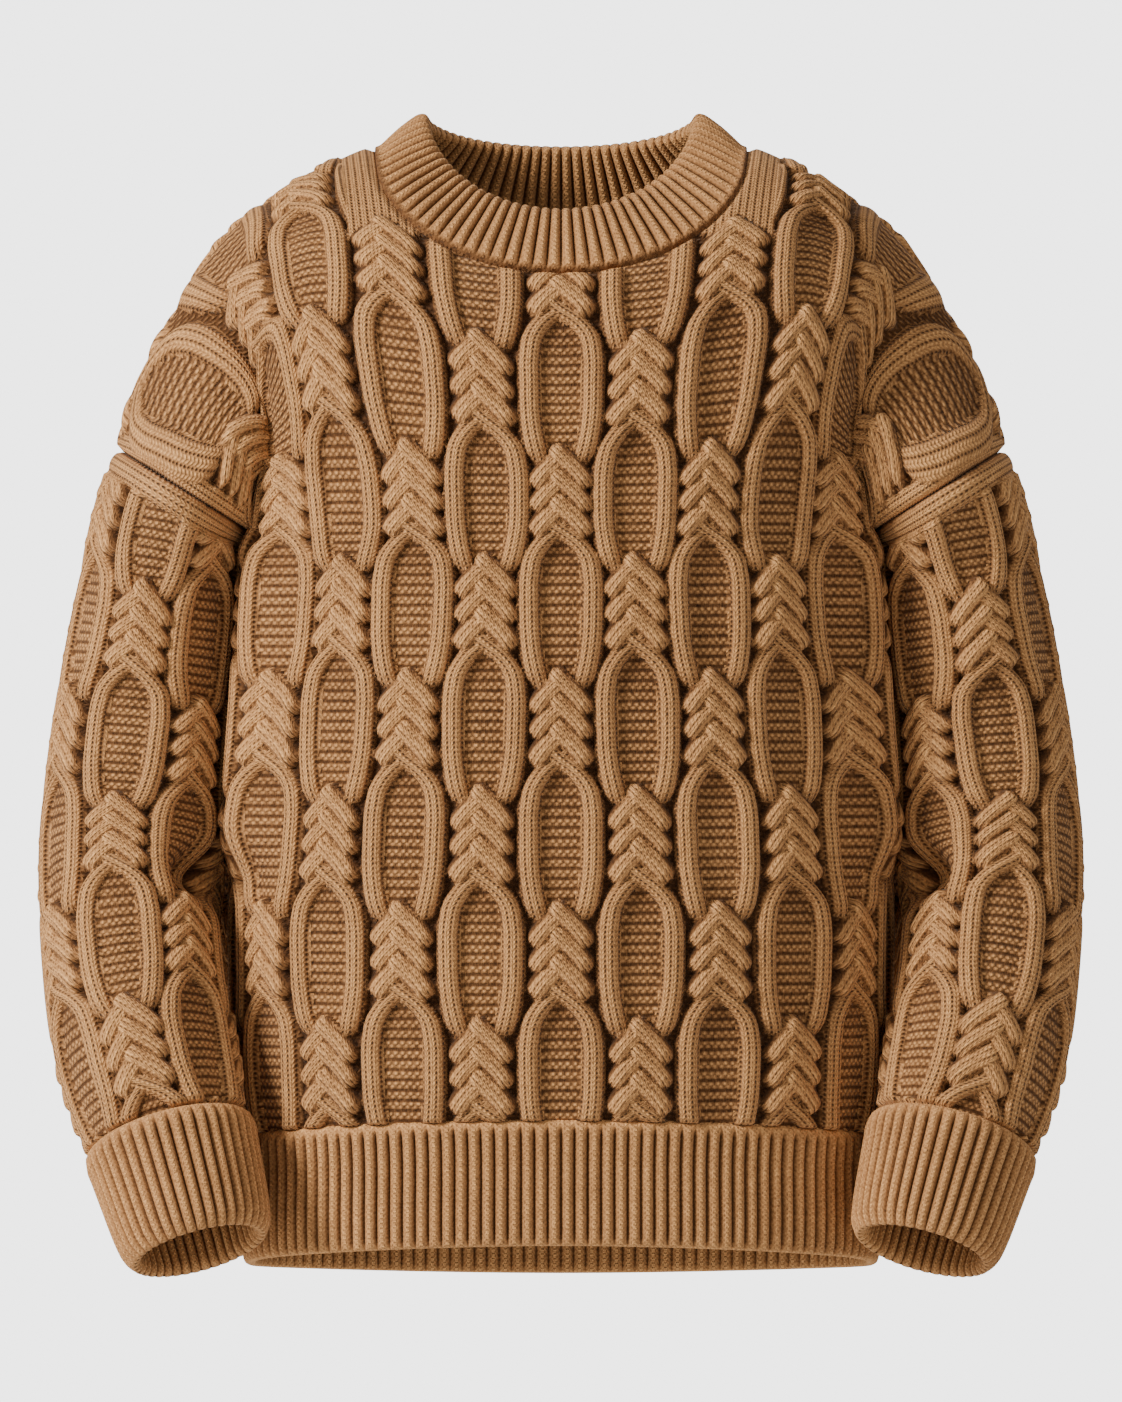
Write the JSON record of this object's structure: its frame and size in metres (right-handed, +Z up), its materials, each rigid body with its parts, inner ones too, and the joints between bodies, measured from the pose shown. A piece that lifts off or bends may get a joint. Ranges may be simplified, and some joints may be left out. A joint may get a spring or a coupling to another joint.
{
  "type": "cable knit sweater",
  "caption": "Thick crew-neck pullover with dropped shoulders, eye-and-plait cable columns, ribbed neckband and hem, and turned-back ribbed cuffs, hollow as if worn",
  "frame": {"origin": "middle of the line between the neck ends of the two shoulder seams, where the garment hangs on its wearer's shoulders", "axes": "+Z up, -Y to the front of the garment, +X to the wearer's left"},
  "size_m": [0.635, 0.2656, 0.7139],
  "materials": {
    "cable_wool": "thick camel-brown wool in a cable knit, matt and slightly fuzzy",
    "rib_wool": "camel-brown wool in a knitted rib, matt and slightly fuzzy"
  },
  "bodies": {
    "root": {"front": "cable_wool", "back": "cable_wool", "sleeve_right": "cable_wool", "sleeve_left": "cable_wool", "neckband": "rib_wool", "hem_rib": "rib_wool", "cuff_right": "rib_wool", "cuff_left": "rib_wool"}
  },
  "joints": []
}
